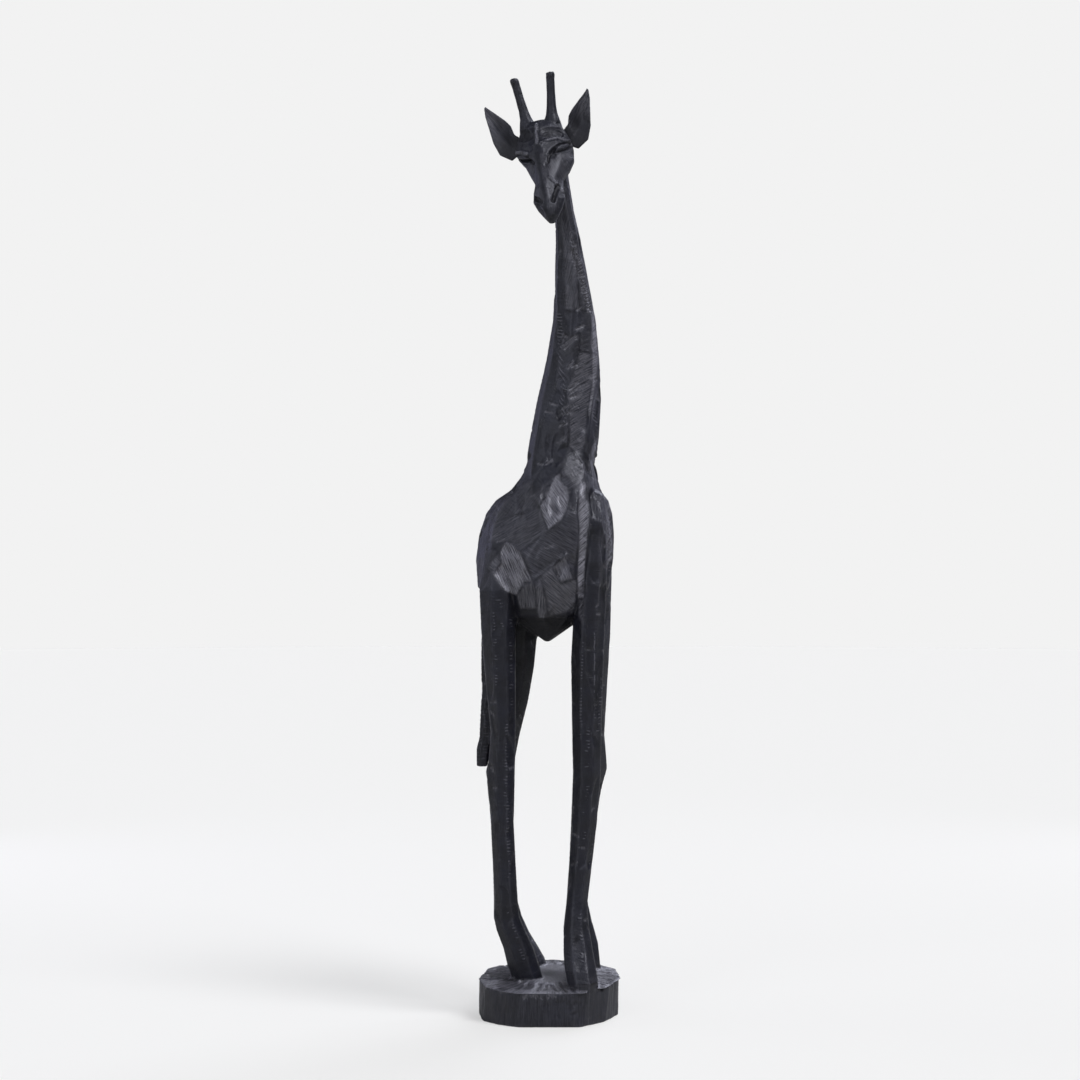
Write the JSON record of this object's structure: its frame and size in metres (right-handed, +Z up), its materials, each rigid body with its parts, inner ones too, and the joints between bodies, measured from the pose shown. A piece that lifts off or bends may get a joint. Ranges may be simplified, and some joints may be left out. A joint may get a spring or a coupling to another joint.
{
  "type": "carved giraffe statue",
  "caption": "Slender free-standing giraffe carved from one dark-stained log, with its stump left on as a plinth; head, leaf-shaped ears and tail are glued on over pins.",
  "frame": {"origin": "middle of the plinth's flat underside, on the surface it stands on", "axes": "+Z up along the log; the giraffe faces -Y; its own left side is at +X"},
  "size_m": [0.155, 0.17, 1.0008],
  "materials": {
    "black_wood": "knife-carved hardwood, black-stained and wax-polished, satin",
    "pin_wood": "plain hardwood pin, unfinished"
  },
  "bodies": {
    "root": {"carved_figure": "black_wood", "head": "black_wood", "ear_left": "black_wood", "ear_right": "black_wood", "tail": "black_wood", "neck_dowel": "pin_wood", "ear_pin_left": "pin_wood", "ear_pin_right": "pin_wood", "tail_pin": "pin_wood"}
  },
  "joints": []
}
